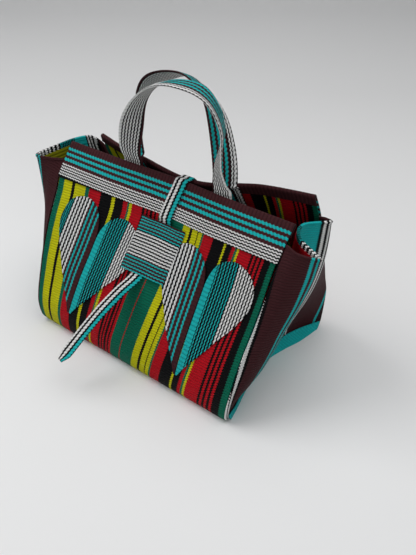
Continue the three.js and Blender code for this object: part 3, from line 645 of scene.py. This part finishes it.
# Stripes of each cloth: width in millimetres and colour, or colour pair and number of pairs
PANEL_STRIPES = [
    (12.0, "green"), (15.7, "yellow"), (5.2, "black"), (18.9, "yellow"), (6.7, "green"),
    (21.6, "red"), (19.4, "black"), (4.9, "yellow"), (14.2, "black"), (6.3, "red"),
    (3.7, "green"), (4.0, "yellow"), (16.9, "red"), (25.4, ("black", "red"), 4),
    (18.3, "green"), (2.3, "red"), (20.9, "green"), (11.2, "yellow"), (4.1, "black"),
    (9.0, "yellow"), (1.6, "black"), (5.7, "yellow"), (2.7, "green"), (13.3, "red"),
    (16.9, "black"), (2.6, "yellow"), (9.0, "black"), (3.8, "red"), (2.5, "green"),
    (2.5, "yellow"), (13.8, "red"), (23.1, RED_BLACK, 4), (4.8, "black"), (12.0, "green"),
]
SIDE_STRIPES = [
    (8.0, "white"), (3.0, "black"), (6.0, "white"), (5.0, "black"), (34.5, "brown"),
    (4.0, "turquoise"), (4.5, "brown"), (4.0, "turquoise"), (5.0, "brown"),
    (33.0, WHITE_BLACK, 7), (26.0, TURQUOISE_BLACK, 9), (24.0, "turquoise"),
    (3.0, "black"), (17.0, WHITE_BLACK, 3), (48.0, "brown"), (4.0, "turquoise"),
    (20.0, "dark_brown"),
]
BAND_STRIPES = [
    (14.0, "brown"), (7.1, "brown"), (3.3, "turquoise"), (4.3, "brown"), (3.3, "turquoise"),
    (3.8, "brown"), (3.8, "turquoise"), (4.7, "brown"), (17.5, WHITE_BLACK, 5),
]
HANDLE_INNER_STRIPES = [(3.2, "white"), (1.8, "black"), (22.5, WHITE_BLACK, 6), (2.5, "brown")]
HANDLE_OUTER_STRIPES = [
    (1.2, "black"), (2.8, "white"), (1.6, "black"), (1.6, "white"), (1.6, "black"),
    (2.4, "brown"), (3.2, "turquoise"), (3.0, "brown"), (3.0, "turquoise"), (3.4, "brown"),
    (3.6, "turquoise"), (2.6, "brown"),
]
STRAP_STRIPES = [
    (0.8, "black"), (4.6, "turquoise"), (3.2, "black"), (3.8, "white"), (3.2, "black"),
    (3.4, "white"),
]
KEEPER_STRIPES = [
    (18.5, TURQUOISE_BROWN, 5), (28.0, WHITE_BLACK, 8), (18.5, TURQUOISE_BROWN, 5),
]
LEFT_FACING_STRIPES = [
    (113.0, "olive"), (24.0, "turquoise"), (3.0, "black"), (17.0, WHITE_BLACK, 3),
    (70.0, "brown"),
]
BROWN_HEART_STRIPES = [
    (8.0, "brown"), (2.8, "turquoise"), (4.2, "brown"), (2.8, "turquoise"), (4.2, "brown"),
    (2.8, "turquoise"), (3.6, "brown"), (27.0, WHITE_BLACK, 5), (14.0, TURQUOISE_BLACK, 5),
]
TURQUOISE_HEART_STRIPES = [
    (9.0, "turquoise"), (1.4, "black"), (27.0, TURQUOISE_BLACK, 7), (31.0, WHITE_BLACK, 8),
]

panel_cloth = woven("striped_panel_cloth", PANEL_STRIPES, rib=FINE_RIB, rib_shade_depth=0.28)
side_cloth = woven("side_cloth", SIDE_STRIPES, start=-20.0, rib=FINE_RIB, rib_shade_depth=0.30)
base_cloth = woven("turquoise_base_cloth", [(400.0, "turquoise")], zigzag=0.2)
band_cloth = woven("mouth_band_cloth", BAND_STRIPES, start=-14.0, along=1)
handle_inner = woven(
    "handle_inner_webbing", HANDLE_INNER_STRIPES, start=-15.0, rib=HANDLE_RIB, wander=0.4,
)
handle_outer = woven(
    "handle_outer_webbing", HANDLE_OUTER_STRIPES, start=-15.0, rib=HANDLE_RIB, wander=0.4,
)
strap_webbing = woven("strap_webbing", STRAP_STRIPES, start=-9.5, rib=STRAP_RIB, wander=0.4)
keeper_cloth = woven("keeper_cloth", KEEPER_STRIPES, along=1, zigzag=0.28, wander=0.3)
olive_facing = woven("olive_facing_cloth", LEFT_FACING_STRIPES, zigzag=0.2)
red_facing = woven("red_facing_cloth", [(14.0, "yellow"), (400.0, "red")], zigzag=0.3)
brown_heart = woven("brown_heart_cloth", BROWN_HEART_STRIPES, zigzag=0.42, wander=0.4)
turquoise_heart = woven(
    "turquoise_heart_cloth", TURQUOISE_HEART_STRIPES, zigzag=0.42, wander=0.4,
)


# Pieces
def panel(name, surface, across, slip, slot, node):
    """Main cloth: the panel's surface and the same surface a cloth's thickness further in; its
    stripes run across from the bag's left edge, with the surface or against it, and slip aside
    towards the foot by a power of the way down, most in the middle and not at the seams."""
    inset = SEAM_INSET / BASE_WIDTH
    columns, rows = PANEL_GRID
    a, b = grid(np.linspace(inset, 1 - inset, columns), np.linspace(0, 1, rows))
    outer = surface(a, b)
    aside = slip * (1 - b) ** SLIP_POWER * 4 * a * (1 - a)
    place = (a if across > 0 else 1 - a) * PANEL_SPREAD + aside
    threads = np.stack([place, travelled(outer, 0)], axis=-1)
    piece = shell(name, outer, raised(surface, a, b, -CLOTH), threads, [panel_cloth], slot, node)


def wall_threads(a, b, sign):
    """Thread of the side cloth at each crossing: the tables at the foot and the mouth, mixed by
    height."""
    at = a if sign > 0 else 1 - a
    stops = np.linspace(0, 1, 8)
    foot = follow(stops, RIGHT_THREADS_FOOT if sign > 0 else LEFT_THREADS_FOOT, at)
    mouth = follow(stops, THREADS_MOUTH, at)
    return foot + (mouth - foot) * b


def gusset(name, surface, sign, node):
    """Side wall: its surface, and the same surface a cloth's thickness further in."""
    columns, rows = WALL_GRID
    a, b = grid(np.linspace(*WALL_ENDS, columns), np.linspace(*WALL_RISE, rows))
    outer = surface(a, b)
    threads = np.stack([wall_threads(a, b, sign), travelled(outer, 0)], axis=-1)
    inner = raised(surface, a, b, -CLOTH)
    piece = shell(name, outer, inner, threads, [side_cloth], "side_cloth", node)


def folded(surface, a, outside, inside, height, lift):
    """Cloth folded over a panel's top: rows down the outside, a half circle round the top and
    rows down the inside, each at the given lift from the panel's cloth."""
    radius = CLOTH / 2 + LAYER_GAP + lift
    one = np.ones_like(a)
    out = normal(surface, a, one)
    top = surface(a, one)
    upward = unit(top - surface(a, one - TOP_STEP))
    middle = top - out * CLOTH / 2
    rows = []
    for down in outside:
        rows.append(raised(surface, a, one - down / height, LAYER_GAP + lift))
    for angle in np.linspace(0, math.pi, FOLD_ANGLES)[1:-1]:
        rows.append(middle + radius * (out * math.cos(angle) + upward * math.sin(angle)))
    for down in inside:
        rows.append(raised(surface, a, one - down / height, -CLOTH - LAYER_GAP - lift))
    return np.stack(rows)


def folded_piece(name, surface, height, drop, turn_in, thickness, finish, slot, *nodes, side=None):
    """Folded cloth from the drop outside to the turn-in inside; its thread place along the top
    is the side wall's where a side is given, or else the length."""
    a = np.linspace(*FOLD_ENDS, FOLD_COLUMNS)
    outside = np.linspace(drop, 0, max(int(drop / FOLD_ROW), 3))
    inside = np.linspace(0, turn_in, FOLD_INSIDE_ROWS)
    outer = folded(surface, a, outside, inside, height, thickness)
    inner = folded(surface, a, outside, inside, height, 0.0)
    path = travelled(outer, 0)
    whole = path[len(outside) - 1]
    across = travelled(outer, 1)
    if side is not None:
        across = np.broadcast_to(wall_threads(a, 1, side), path.shape)
    threads = np.stack([across, whole - path], axis=-1)
    return shell(name, outer, inner, threads, [finish], slot, *nodes)


def base():
    """Base cloth: its floor lies between two outlines, and its sides turn up outside the side
    walls; the rows run from front to back."""
    forward = np.linspace(0, 1, 81)
    rise = np.linspace(1, 0, 9)

    def layer(distance, floor):
        columns = []
        for surface, sign in ((right_wall, 1), (left_wall, -1)):
            way = forward if sign > 0 else 1 - forward

            def strip(a, b, wall=surface):
                return wall(a, b, 0.0, BASE_STRIP_HEIGHT)

            a, b = grid(way, rise)
            side = raised(strip, a, b, distance)
            side[-1, :, 2] = floor
            columns.append(side)
        right, left = columns
        flat = np.linspace(0, 1, 13)[1:-1, None, None]
        middle = right[-1] + (left[-1] - right[-1]) * flat
        return np.concatenate([right, middle, left[::-1]]).transpose(1, 0, 2)

    outer = layer(2 * LAYER_GAP + PATCH_CLOTH, 0.0)
    inner = layer(2 * LAYER_GAP, BASE_CLOTH)
    shrink = np.array([1.0, (HALF_DEPTH - SEAM_INSET - BASE_ROOM) / HALF_DEPTH, 1.0])
    threads = weave_places(outer)
    shell("base", outer * shrink, inner * shrink, threads, [base_cloth], "base_cloth", "base_panel")


def on_front(x, up, distance):
    """Places over the front panel, by their millimetres aside and their height's share."""
    a = (x / (HALF_WIDTH * column(FRONT_ROWS, 2, up)) + 1) / 2
    return raised(front, a, up, distance)


def keeper():
    """Patch over the strap: a slanted rectangle on the panel, raised over the strap and falling
    to the cloth by a half cosine at both sides."""
    columns, rows = KEEPER_GRID
    a, b = grid(np.linspace(0, 1, columns), np.linspace(0, 1, rows))
    x = KEEPER_ASIDE + (a - 0.5) * KEEPER_WIDTH + (b - 0.5) * KEEPER_SLANT
    up = (KEEPER_MIDDLE + (b - 0.5) * KEEPER_HEIGHT) / FRONT_HEIGHT
    full = 2 * LAYER_GAP + STRAP_CLOTH + KEEPER_SLACK
    edge = KEEPER_WIDTH / 2
    fall = np.clip((np.abs(a - 0.5) * KEEPER_WIDTH - STRAP_WIDTH) / (edge - STRAP_WIDTH), 0, 1)
    lift = LAYER_GAP + (full - LAYER_GAP) * (0.5 + 0.5 * np.cos(math.pi * fall))
    threads = np.stack([a * KEEPER_WIDTH, b * KEEPER_HEIGHT], axis=-1)
    outer = on_front(x, up, lift + PATCH_CLOTH)
    inner = on_front(x, up, lift)
    shell("keeper", outer, inner, threads, [keeper_cloth], "keeper_cloth", "keeper_patch")


def leaf(name, slot, tip, notch, side, size, finish):
    """Half of a heart: rows along its straight edge from the tip, each as wide as the table
    says, laid on the panel."""
    along = np.concatenate([np.linspace(0, 0.9, 55), np.linspace(0.9, 1, 19)[1:]])
    across = np.linspace(0, 1, LEAF_COLUMNS) if side > 0 else np.linspace(1, 0, LEAF_COLUMNS)
    w, v = grid(across, along)
    near = column(LEAF_ROWS, 1, v)
    far = column(LEAF_ROWS, 2, v)
    width = (near + (far - near) * w) * LEAF_WIDTH * size
    start = np.array([tip[0] * HALF_WIDTH, tip[1] * FRONT_HEIGHT])
    line = np.array([notch[0] * HALF_WIDTH, notch[1] * FRONT_HEIGHT]) - start
    line = line / np.linalg.norm(line)
    outward = np.array([line[1], -line[0]]) * side
    length = v * LEAF_LENGTH * size
    x = start[0] + line[0] * length + outward[0] * width
    z = start[1] + line[1] * length + outward[1] * width
    up = z / FRONT_HEIGHT
    threads = np.stack([width, length], axis=-1)
    outer = on_front(x, up, LAYER_GAP + PATCH_CLOTH)
    shell(name + "_cloth", outer, on_front(x, up, LAYER_GAP), threads, [finish], slot, name)


def ribbon(name, middle, wide, width, thickness, stations, narrow, finishes, slot, *nodes):
    """Flat webbing along a smooth path: its cross-section is a thin rounded bar, and its edges
    are scalloped by the weave."""
    length = travelled(middle, 0)
    at = np.linspace(0, length[-1], stations)
    centre = np.stack([follow(length, middle[:, k], at) for k in range(3)], axis=-1)
    aside = np.stack([follow(length, wide[:, k], at) for k in range(3)], axis=-1)
    forward = unit(np.gradient(centre, axis=0))
    thick = unit(np.cross(aside, forward))
    aside = np.cross(forward, thick)
    share = np.linspace(-0.5, 0.5, WEBBING_COLUMNS)
    scallop = 1 + SCALLOP / width * np.sin(2 * math.pi * at / STRAP_RIB)
    reach = share[None, :] * (width * narrow(at / length[-1]) * scallop)[:, None]
    bulge = thickness / 2 * np.sqrt(1.02 - np.abs(2 * share) ** 8)
    threads = np.stack([
        np.broadcast_to(share * width, reach.shape),
        np.broadcast_to(at[:, None], reach.shape),
    ], axis=-1)
    flat = centre[:, None, :] + aside[:, None, :] * reach[..., None]
    outer = flat + thick[:, None, :] * bulge[None, :, None]
    inner = flat - thick[:, None, :] * bulge[None, :, None]
    piece = shell(name, outer, inner, threads, finishes, slot, *nodes)
    return piece, flat


def handle(name, rows, surface, depth, wide_sign, finishes, node):
    """Handle: feet down the inside of the panel, then the table's arch, whose width turns about
    the upright by the turn and drops by the tilt."""
    at = np.linspace(0, 1, len(rows))
    fine = np.linspace(0, 1, 40)
    side, deep, rise, turn, tilt = (follow(at, rows[:, k], fine) for k in range(5))
    turn, tilt = np.radians(turn), np.radians(tilt)
    top = FRONT_HEIGHT + rise * HANDLE_RISE
    arch = np.stack([side * HANDLE_SPREAD, deep * HANDLE_REACH, top], axis=-1)
    flat_out = np.cos(tilt)
    arch_wide = np.stack([np.cos(turn) * flat_out, np.sin(turn) * flat_out, -np.sin(tilt)], axis=-1)

    def foot(x, sign):
        a = (1 + wide_sign * x / (HALF_WIDTH * column(FRONT_ROWS, 2, np.array(1.0)))) / 2
        shares = np.full(len(FOOT_UPS), float(a))
        middle = raised(surface, shares, FOOT_UPS, -depth)
        direction = unit(surface(shares + NEAR, FOOT_UPS) - surface(shares - NEAR, FOOT_UPS))
        return middle, direction * sign * wide_sign

    left, left_wide = foot(rows[0, 0] * HANDLE_SPREAD, 1)
    right, right_wide = foot(rows[-1, 0] * HANDLE_SPREAD, -1)
    middle = np.concatenate([left, arch, right[::-1]])
    wide = np.concatenate([left_wide, arch_wide, right_wide[::-1]])
    piece, flat = ribbon(
        name, middle, wide, HANDLE_WIDTH, HANDLE_CLOTH, HANDLE_STATIONS, np.ones_like,
        finishes, "handle_webbing", node,
    )


def strap():
    """Closing strap: down the back band, over both mouths, under the patch, and out to its
    pointed end."""
    over = LAYER_GAP + BAND_CLOTH + LAYER_GAP + 2 * STRAP_SLACK + STRAP_CLOTH / 2
    low = LAYER_GAP + STRAP_SLACK + STRAP_CLOTH / 2
    middles, wides = [], []

    def lay(surface, side, rows):
        up, aside, lift = rows.T
        a = (1 + side * aside * STRAP_WIDTH / (HALF_WIDTH * column(FRONT_ROWS, 2, up))) / 2
        middles.append(raised(surface, a, up, low + (over - low) * lift))
        wides.append(-side * unit(surface(a + NEAR, up) - surface(a - NEAR, up)))

    def fold(surface, side, aside, angles):
        a = np.array([(1 + side * aside * STRAP_WIDTH / (HALF_WIDTH * FRONT_ROWS[-1, 2])) / 2])
        one = np.ones(1)
        out = normal(surface, a, one)
        top = surface(a, one)
        upward = unit(top - surface(a, one - TOP_STEP))
        reach = CLOTH / 2 + over
        for angle in angles:
            around = out * math.cos(angle) + upward * math.sin(angle)
            middles.append(top - out * CLOTH / 2 + reach * around)
            wides.append(-side * unit(surface(a + NEAR, one) - surface(a - NEAR, one)))

    lay(back, -1, STRAP_ON_BACK)
    fold(back, -1, STRAP_ON_BACK[0, 1], (math.pi / 4, math.pi / 2))
    fold(front, 1, STRAP_ON_FRONT[0, 1], (math.pi / 2, math.pi / 4))
    lay(front, 1, STRAP_ON_FRONT)
    share = np.linspace(1, 0, 6)
    under = np.stack([
        (KEEPER_MIDDLE + (share - 0.5) * KEEPER_HEIGHT) / FRONT_HEIGHT,
        STRAP_KEEPER_FOOT + (STRAP_KEEPER_TOP - STRAP_KEEPER_FOOT) * share,
        0 * share,
    ], axis=-1)
    lay(front, 1, under)
    leave, leave_wide = middles[-1][-1], wides[-1][-1]
    along, droop, turned = STRAP_END.T
    end = leave + STRAP_REACH * STRAP_DROP * along[:, None]
    end[:, 2] += droop * STRAP_DROP
    middles.append(end)
    wides.append(unit(leave_wide + (STRAP_END_WIDE - leave_wide) * turned[:, None]))
    middles.append(end[-1:] + unit(STRAP_REACH) * STRAP_TIP)
    wides.append(STRAP_END_WIDE[None, :])
    middle, wide = np.concatenate(middles), np.concatenate(wides)
    whole = travelled(middle, 0)[-1]

    def narrow(at):
        return 1 - STRAP_POINT * np.clip((at * whole - (whole - STRAP_TIP)) / STRAP_TIP, 0, 1)

    piece, flat = ribbon(
        "strap", middle, wide, STRAP_WIDTH, STRAP_CLOTH, STRAP_STATIONS, narrow,
        [strap_webbing], "strap_webbing", "closing_strap",
    )


def facing(name, surface, sign, finish, slot, node):
    """Facing: part of the side wall's surface again, inside the cloth."""
    columns, rows = FACING_GRID
    a, b = grid(np.linspace(*FACING_ACROSS, columns), np.linspace(*FACING_UP, rows))
    outer = raised(surface, a, b, -CLOTH - LAYER_GAP)
    inner = raised(surface, a, b, -CLOTH - LAYER_GAP - PATCH_CLOTH)
    threads = np.stack([wall_threads(a, b, sign), travelled(outer, 0)], axis=-1)
    shell(name, outer, inner, threads, [finish], slot, node)


panel("front_cloth_wall", front, 1, FRONT_SLIP, "front_cloth", "front_panel")
panel("back_cloth_wall", back, -1, 0.0, "back_cloth", "back_panel")
gusset("right_cloth_wall", right_wall, 1, "right_gusset")
gusset("left_cloth_wall", left_wall, -1, "left_gusset")
base()
folded_piece("front_mouth_band", front, FRONT_HEIGHT, BAND_DROP, BAND_TURN_IN, BAND_CLOTH,
             band_cloth, "band_cloth", "front_band")
folded_piece("back_mouth_band", back, BACK_HEIGHT, BAND_DROP, BAND_TURN_IN, BAND_CLOTH,
             band_cloth, "band_cloth", "back_band")
folded_piece("right_wing_hem", right_wall, WING_HEIGHT, HEM_DROP, HEM_TURN_IN, HEM_CLOTH,
             side_cloth, "side_cloth", side=1)
folded_piece("left_wing_hem", left_wall, WING_HEIGHT, HEM_DROP, HEM_TURN_IN, HEM_CLOTH,
             side_cloth, "side_cloth", side=-1)
facing("right_facing", right_wall, 1, red_facing, "red_facing_cloth", "right_wing_facing")
facing("left_facing", left_wall, -1, olive_facing, "olive_facing_cloth", "left_wing_facing")
keeper()
for leaf_row in LEAVES:
    leaf(*leaf_row, brown_heart if "brown" in leaf_row[1] else turquoise_heart)
FOOT_DEPTH = CLOTH + FOLD_SLACK + BAND_CLOTH + FOLD_SLACK + HANDLE_CLOTH / 2
handle("front_webbing_handle", FRONT_HANDLE, front, FOOT_DEPTH, 1,
       [handle_inner, handle_outer], "front_handle")
handle("back_webbing_handle", BACK_HANDLE, back, FOOT_DEPTH + FOLD_SLACK, -1,
       [handle_outer, handle_inner], "back_handle")
strap()


# Floor, light and camera, in metres and watts
FLOOR_SWEEP = 0.9
FLOOR_NEAR = -2.2
FLOOR_FAR = 1.7
FLOOR_ASIDE = 4.0
FLOOR_TOP = 3.2

# The floor's painted shade, darker further away in place of light falling off: from and to, in metres
# away, and the light given back there
FLOOR_PAINTED_FALLOFF = (-0.2, 0.9, 0.80, 0.66)

# Soft lights: name, place, size, power
SOFT_LIGHTS = [
    ("key", (-1.2, -0.6, 1.7), 1.6, 22),
    ("overhead", (0.2, 0.5, 2.2), 2.4, 26),
    ("fill", (1.6, -1.4, 1.2), 1.8, 9),
]
LIGHT_TARGET = (0, 0, 0.1)
ROOM_COLOUR = (0.9, 0.92, 0.95, 1)
ROOM_LIGHT = 0.22


def backdrop():
    """Pale floor that sweeps up behind the bag: a flat stretch, a quarter circle and a wall; its colour
    darkens with distance away as painted shade.
    """
    turn = np.linspace(0, math.pi / 2, 25)
    flat = np.linspace(FLOOR_NEAR, FLOOR_FAR, 14)[:-1]
    curve = FLOOR_FAR + FLOOR_SWEEP * np.sin(turn)
    reach = np.concatenate([flat, curve, [FLOOR_FAR + FLOOR_SWEEP]])
    rise = np.concatenate([np.zeros(len(flat)), FLOOR_SWEEP * (1 - np.cos(turn)), [FLOOR_TOP]])
    view = np.array([math.sin(CAMERA_TURN), math.cos(CAMERA_TURN)])
    aside = np.array([view[1], -view[0]])
    sides = np.array([-FLOOR_ASIDE, FLOOR_ASIDE])
    plan = view[None, None, :] * reach[:, None, None] + aside[None, None, :] * sides[None, :, None]
    level = np.broadcast_to(rise[:, None, None], (*plan.shape[:2], 1))
    points = np.concatenate([plan, level], axis=-1)
    at = np.arange(points.shape[0] * 2).reshape(-1, 2)
    faces = np.stack([at[:-1, 0], at[:-1, 1], at[1:, 1], at[1:, 0]], axis=-1)
    mesh = bpy.data.meshes.new("floor")
    mesh.from_pydata(points.reshape(-1, 3).tolist(), [], faces.tolist())
    mesh.polygons.foreach_set("use_smooth", np.ones(len(faces), dtype=bool))
    away = mesh.attributes.new("away", "FLOAT", "POINT")
    away.data.foreach_set("value", np.repeat(reach, 2).astype(np.float32))
    paper = bpy.data.materials.new("pale_paper")
    paper.use_nodes = True
    shader = paper.node_tree.nodes["Principled BSDF"]
    shader.inputs["Roughness"].default_value = 0.9
    # Painted shade: the paper's colour falls from light to darker with its distance away
    read = paper.node_tree.nodes.new("ShaderNodeAttribute")
    read.attribute_name = "away"
    ramp = paper.node_tree.nodes.new("ShaderNodeMapRange")
    for socket, value in zip(ramp.inputs[1:5], FLOOR_PAINTED_FALLOFF):
        socket.default_value = value
    paper.node_tree.links.new(read.outputs["Fac"], ramp.inputs[0])
    paper.node_tree.links.new(ramp.outputs[0], shader.inputs["Base Color"])
    mesh.materials.append(paper)
    floor = bpy.data.objects.new("floor", mesh)
    bpy.context.scene.collection.objects.link(floor)


def soft_light(name, place, size, power):
    """Round area light that faces the bag."""
    lamp = bpy.data.lights.new(name, "AREA")
    lamp.shape = "DISK"
    lamp.size = size
    lamp.energy = power
    holder = bpy.data.objects.new(name, lamp)
    holder.location = place
    holder.rotation_euler = (Vector(LIGHT_TARGET) - Vector(place)).to_track_quat("-Z", "Y").to_euler()
    bpy.context.scene.collection.objects.link(holder)


CAMERA_PLACE = (0.4708, -0.5540, 0.6197)
CAMERA_TARGET = (0.04257, 0.00878, 0.09468)
CAMERA_LENS = 42.36
CAMERA_TURN = math.atan2(
    CAMERA_TARGET[0] - CAMERA_PLACE[0], CAMERA_TARGET[1] - CAMERA_PLACE[1],
)


def camera():
    """Camera from above the bag's front right corner, as the bag was seen."""
    lens = bpy.data.cameras.new("camera")
    lens.lens = CAMERA_LENS
    lens.sensor_width = 36.0
    lens.clip_start = 0.01
    holder = bpy.data.objects.new("camera", lens)
    holder.location = CAMERA_PLACE
    aim = Vector(CAMERA_TARGET) - Vector(CAMERA_PLACE)
    holder.rotation_euler = aim.to_track_quat("-Z", "Y").to_euler()
    bpy.context.scene.collection.objects.link(holder)
    bpy.context.scene.camera = holder


def light():
    """The soft lights, and a pale room that gives back a little light from all sides."""
    for row in SOFT_LIGHTS:
        soft_light(*row)
    world = bpy.data.worlds.new("room")
    world.use_nodes = True
    world.node_tree.nodes["Background"].inputs[0].default_value = ROOM_COLOUR
    world.node_tree.nodes["Background"].inputs[1].default_value = ROOM_LIGHT
    bpy.context.scene.world = world
    bpy.context.scene.view_settings.view_transform = "Standard"


camera()
backdrop()
light()
